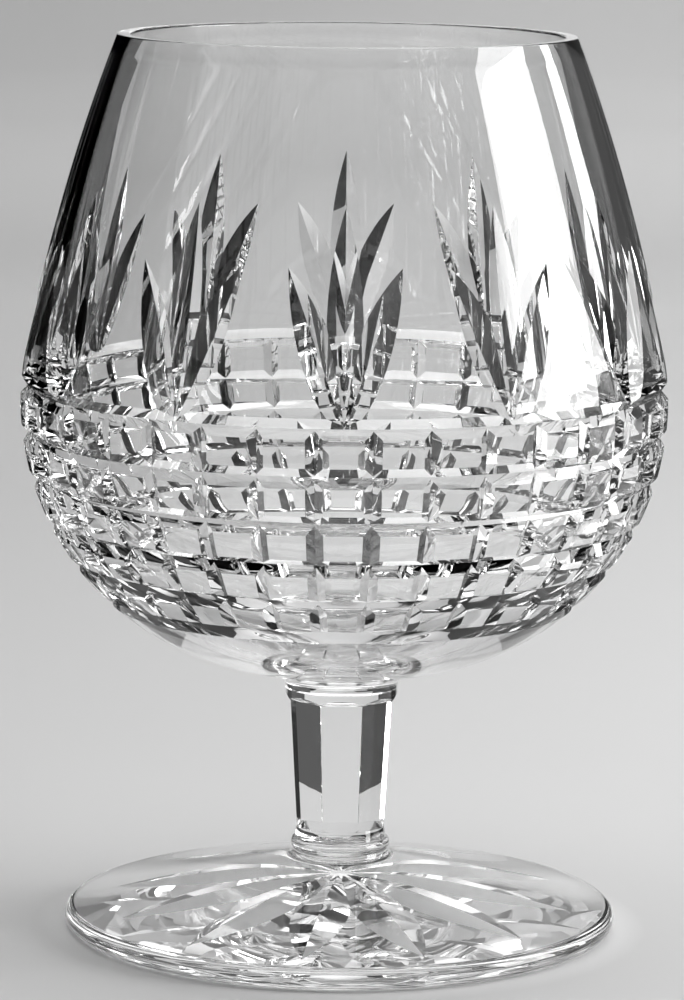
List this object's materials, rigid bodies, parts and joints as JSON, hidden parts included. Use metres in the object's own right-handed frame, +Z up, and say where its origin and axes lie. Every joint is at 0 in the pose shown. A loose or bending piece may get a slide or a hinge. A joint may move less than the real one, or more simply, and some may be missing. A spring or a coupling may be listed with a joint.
{
  "type": "brandy snifter",
  "caption": "Stemmed drinking glass of clear cut crystal: a wide bowl narrowing to its lip, fans over a band of square blocks, a short faceted stem, a low collar and a star-cut foot.",
  "frame": {"origin": "middle of the foot's flat resting ring, in the plane of the table", "axes": "+Z up along the axis of the glass, from the foot to the lip; -Y towards the viewer of the picture; +X to the viewer's right"},
  "size_m": [0.0956, 0.0956, 0.1332],
  "materials": {
    "bowl_glass": "clear polished lead crystal with bright cut facets",
    "stem_glass": "clear polished lead crystal with flat cut facets",
    "collar_glass": "clear fire-polished lead crystal",
    "foot_glass": "clear polished lead crystal, star cut underneath"
  },
  "bodies": {
    "root": {"bowl": "bowl_glass", "stem": "stem_glass", "collar": "collar_glass", "foot": "foot_glass"}
  },
  "joints": []
}
